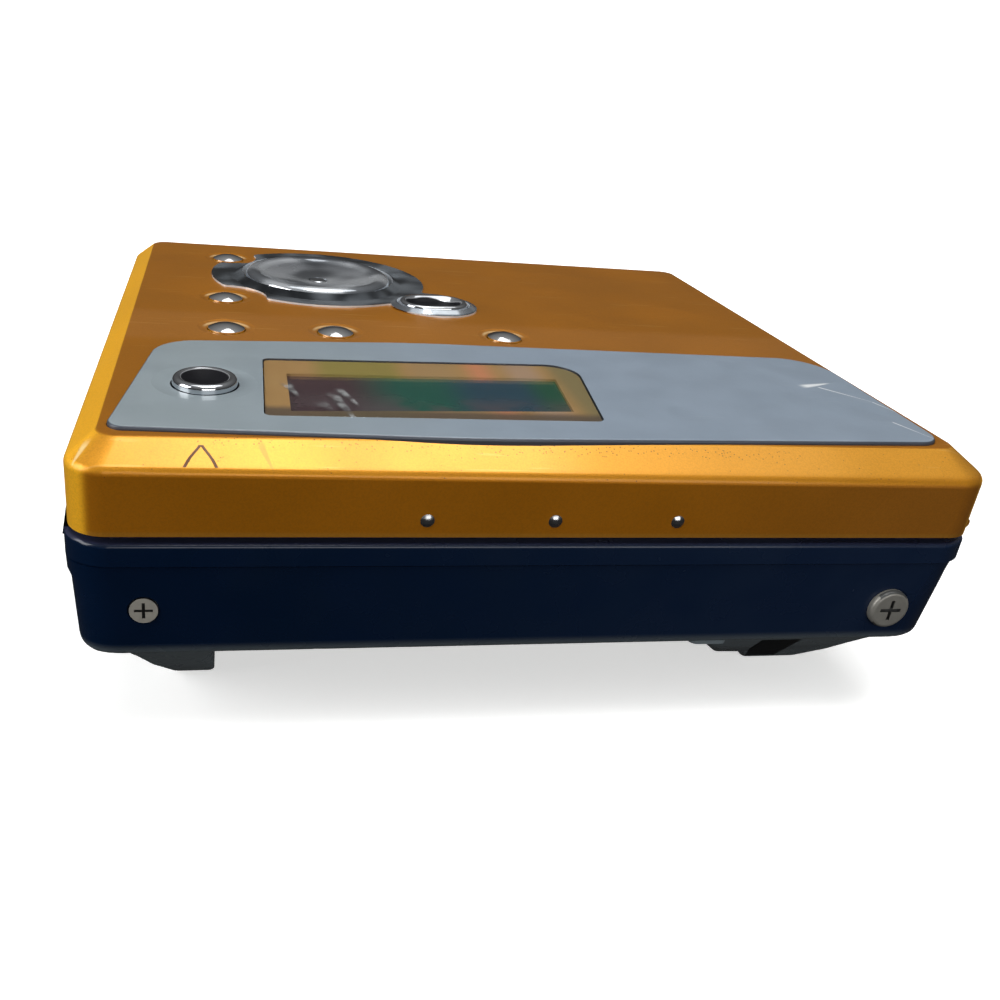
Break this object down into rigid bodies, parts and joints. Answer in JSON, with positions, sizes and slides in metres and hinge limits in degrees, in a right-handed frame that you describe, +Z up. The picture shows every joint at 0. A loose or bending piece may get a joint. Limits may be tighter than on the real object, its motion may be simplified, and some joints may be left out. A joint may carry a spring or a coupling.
{
  "type": "portable minidisc player",
  "caption": "Pocket disc player with a bevelled hinged lid, display strip, control pad and a battery barrel under the back edge.",
  "frame": {"origin": "centre of the outer box on the surface the player stands on", "axes": "+Z up, -Y towards the disc mouth, +Y towards the lid hinge, +X to the right seen from the mouth"},
  "size_m": [0.082, 0.0748, 0.0291],
  "materials": {
    "lid_paint": "pearl amber paint on a moulded shell",
    "navy_plastic": "glossy dark navy",
    "strip_film": "satin grey-blue film",
    "window_glass": "clear lens",
    "bezel_gold": "gold printed frame",
    "lcd": "dark display glass",
    "chrome": "mirror chrome",
    "button_chrome": "chromed plastic",
    "board_green": "solder mask",
    "chip_black": "moulded packages",
    "steel": "zinc-plated sheet",
    "shaft_steel": "ground steel",
    "black_plastic": "black moulding",
    "white_plastic": "acetal",
    "lens_glass": "coated optic",
    "contact": "nickel-plated spring steel",
    "frame_alu": "pressed sheet"
  },
  "bodies": {
    "base": {"lower_case": "navy_plastic", "upper_frame": "navy_plastic", "hinge_pins": "shaft_steel", "battery_door_pin": "shaft_steel", "battery_contact_minus": "contact", "battery_contact_plus": "contact", "case_screws": "steel", "chassis_deck": "steel", "deck_screws": "steel", "main_board": "board_green", "board_chips": "chip_black", "spindle_motor": "steel", "guide_shaft": "shaft_steel", "shaft_supports": "black_plastic", "gear_bracket": "steel", "sled_motor": "steel", "phones_jack": "black_plastic", "line_in_jack": "black_plastic", "dc_in_jack": "black_plastic", "usb_socket": "steel"},
    "lid": {"lid_cover": "lid_paint", "latch_hook": "steel", "lid_inner_frame": "black_plastic", "lid_screws": "steel", "display_panel": "strip_film", "display_window": "window_glass", "display_bezel": "bezel_gold", "lcd_module": "lcd", "switch_board": "board_green", "tact_switches": "contact", "control_plate": "chrome", "lid_rivets": "lid_paint", "pad_saddles": "white_plastic"},
    "gimbal": {"pad_gimbal": "white_plastic"},
    "pad": {"control_pad": "button_chrome"},
    "play": {"play_button": "black_plastic"},
    "stop": {"stop_button": "button_chrome"},
    "button_1": {"round_button_1": "button_chrome"},
    "button_2": {"round_button_2": "button_chrome"},
    "button_3": {"round_button_3": "button_chrome"},
    "button_4": {"round_button_4": "button_chrome"},
    "button_5": {"round_button_5": "button_chrome"},
    "group": {"group_button": "button_chrome"},
    "holder": {"disc_holder": "frame_alu"},
    "door": {"battery_door": "navy_plastic"},
    "table": {"turntable": "black_plastic"},
    "sled": {"pickup_sled": "black_plastic", "objective_lens": "lens_glass"},
    "screw": {"lead_screw": "shaft_steel", "screw_gear": "white_plastic"},
    "idler": {"idler_gear": "white_plastic"},
    "pinion": {"motor_pinion": "white_plastic"},
    "hold_switch": {"hold_slider": "black_plastic"},
    "opener": {"open_slider": "lid_paint"}
  },
  "joints": [
    {"name": "lid_hinge", "type": "hinge", "parent": "base", "child": "lid", "pos_m": [0, 0.0358, 0.0202], "axis": [-1, 0, 0], "range_deg": [0, 28]},
    {"name": "holder_tilt", "type": "hinge", "parent": "base", "child": "holder", "pos_m": [0, 0.0358, 0.0202], "axis": [-1, 0, 0], "range_deg": [0, 17.5]},
    {"name": "pad_rock_side", "type": "hinge", "parent": "lid", "child": "gimbal", "pos_m": [-0.017, 0.0185, 0.0262], "axis": [0, 1, 0], "range_deg": [-2, 2], "stiffness_Nm_per_rad": 0.02},
    {"name": "pad_rock_level", "type": "hinge", "parent": "gimbal", "child": "pad", "pos_m": [-0.017, 0.0185, 0.0262], "axis": [1, 0, 0], "range_deg": [-2, 2], "stiffness_Nm_per_rad": 0.02},
    {"name": "play_press", "type": "slide", "parent": "pad", "child": "play", "axis": [0, 0, -1], "range_m": [0, 0.0003], "stiffness_N_per_m": 250},
    {"name": "stop_press", "type": "slide", "parent": "lid", "child": "stop", "axis": [0, 0, -1], "range_m": [0, 0.0003], "stiffness_N_per_m": 250},
    {"name": "button_1_press", "type": "slide", "parent": "lid", "child": "button_1", "axis": [0, 0, -1], "range_m": [0, 0.0003], "stiffness_N_per_m": 250},
    {"name": "button_2_press", "type": "slide", "parent": "lid", "child": "button_2", "axis": [0, 0, -1], "range_m": [0, 0.0003], "stiffness_N_per_m": 250},
    {"name": "button_3_press", "type": "slide", "parent": "lid", "child": "button_3", "axis": [0, 0, -1], "range_m": [0, 0.0003], "stiffness_N_per_m": 250},
    {"name": "button_4_press", "type": "slide", "parent": "lid", "child": "button_4", "axis": [0, 0, -1], "range_m": [0, 0.0003], "stiffness_N_per_m": 250},
    {"name": "button_5_press", "type": "slide", "parent": "lid", "child": "button_5", "axis": [0, 0, -1], "range_m": [0, 0.0003], "stiffness_N_per_m": 250},
    {"name": "group_press", "type": "slide", "parent": "lid", "child": "group", "axis": [0, 0, -1], "range_m": [0, 0.0003], "stiffness_N_per_m": 250},
    {"name": "battery_door_hinge", "type": "hinge", "parent": "base", "child": "door", "pos_m": [0, 0.0361, 0.0121], "axis": [1, 0, 0], "range_deg": [0, 100]},
    {"name": "turntable_spin", "type": "hinge", "parent": "base", "child": "table", "pos_m": [0, -0.001, 0.0168], "axis": [0, 0, 1], "continuous": true},
    {"name": "sled_travel", "type": "slide", "parent": "base", "child": "sled", "axis": [1, 0, 0], "range_m": [0, 0.015]},
    {"name": "screw_spin", "type": "hinge", "parent": "base", "child": "screw", "pos_m": [0, -0.0135, 0.0133], "axis": [1, 0, 0], "range_deg": [-10, 2720]},
    {"name": "idler_spin", "type": "hinge", "parent": "base", "child": "idler", "pos_m": [0.0356, -0.0183, 0.0133], "axis": [1, 0, 0], "range_deg": [-2720, 10]},
    {"name": "pinion_spin", "type": "hinge", "parent": "base", "child": "pinion", "pos_m": [0.0356, -0.0219, 0.0133], "axis": [1, 0, 0], "range_deg": [-10, 5420]},
    {"name": "hold_slide", "type": "slide", "parent": "base", "child": "hold_switch", "axis": [0, 1, 0], "range_m": [0, 0.0022]},
    {"name": "open_slide", "type": "slide", "parent": "base", "child": "opener", "axis": [0, 1, 0], "range_m": [0, 0.0022], "stiffness_N_per_m": 150}
  ],
  "couplings": [
    {"joint": "holder_tilt", "follows": "lid_hinge", "ratio": 0.62},
    {"joint": "screw_spin", "follows": "sled_travel", "rad_per_m": 3141.6},
    {"joint": "idler_spin", "follows": "sled_travel", "rad_per_m": -3141.6},
    {"joint": "pinion_spin", "follows": "sled_travel", "rad_per_m": 6283.2}
  ]
}
